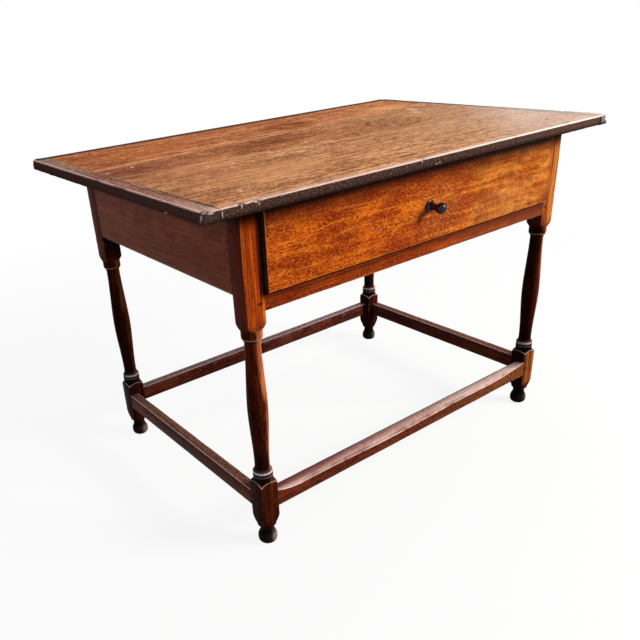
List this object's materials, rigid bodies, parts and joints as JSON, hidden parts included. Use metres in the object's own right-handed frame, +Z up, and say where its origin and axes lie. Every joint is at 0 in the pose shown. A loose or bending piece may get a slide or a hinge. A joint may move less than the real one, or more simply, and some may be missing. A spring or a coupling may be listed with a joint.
{
  "type": "tavern table",
  "caption": "Low rectangular country table with a breadboard-ended plank top, turned legs joined near the floor by stretchers, and one long drawer in the front.",
  "frame": {"origin": "on the floor, under the middle of the top", "axes": "+Z up, -Y out of the front with the drawer, +X to the right seen from the front"},
  "size_m": [1.09, 0.713, 0.731],
  "materials": {
    "top_wood": "old shellac and wax on red-brown boards, satin, worn pale along the edges",
    "frame_wood": "dark red-brown old finish, satin, worn through on the arrises",
    "drawer_face_wood": "orange-brown old finish, satin, mottled",
    "secondary_wood": "unfinished, aged and dry",
    "peg_wood": "end grain under the old finish",
    "knob_wood": "turned, handled dark and glossy",
    "nail_iron": "wrought, dull and lightly rusted"
  },
  "bodies": {
    "table": {"top_board_back": "top_wood", "top_board_middle": "top_wood", "top_board_front": "top_wood", "breadboard_left": "top_wood", "breadboard_right": "top_wood", "leg_front_left": "frame_wood", "leg_front_right": "frame_wood", "leg_back_left": "frame_wood", "leg_back_right": "frame_wood", "apron_left": "frame_wood", "apron_right": "frame_wood", "apron_back": "frame_wood", "drawer_rail": "frame_wood", "stretcher_front": "frame_wood", "stretcher_right": "frame_wood", "stretcher_back": "frame_wood", "stretcher_left": "frame_wood", "top_pegs": "peg_wood", "apron_pegs": "peg_wood", "rail_pegs": "peg_wood", "stretcher_pegs": "peg_wood", "drawer_guide_left": "secondary_wood", "drawer_guide_right": "secondary_wood", "drawer_runner_left": "secondary_wood", "drawer_runner_right": "secondary_wood", "guide_nails": "nail_iron", "runner_nails": "nail_iron"},
    "drawer": {"drawer_front": "drawer_face_wood", "drawer_side_left": "secondary_wood", "drawer_side_right": "secondary_wood", "drawer_back": "secondary_wood", "drawer_bottom_front": "secondary_wood", "drawer_bottom_rear": "secondary_wood", "bottom_nails": "nail_iron", "drawer_knob": "knob_wood"}
  },
  "joints": [
    {"name": "drawer_slide", "type": "slide", "parent": "table", "child": "drawer", "axis": [0, -1, 0], "range_m": [-0.009, 0.4]}
  ]
}
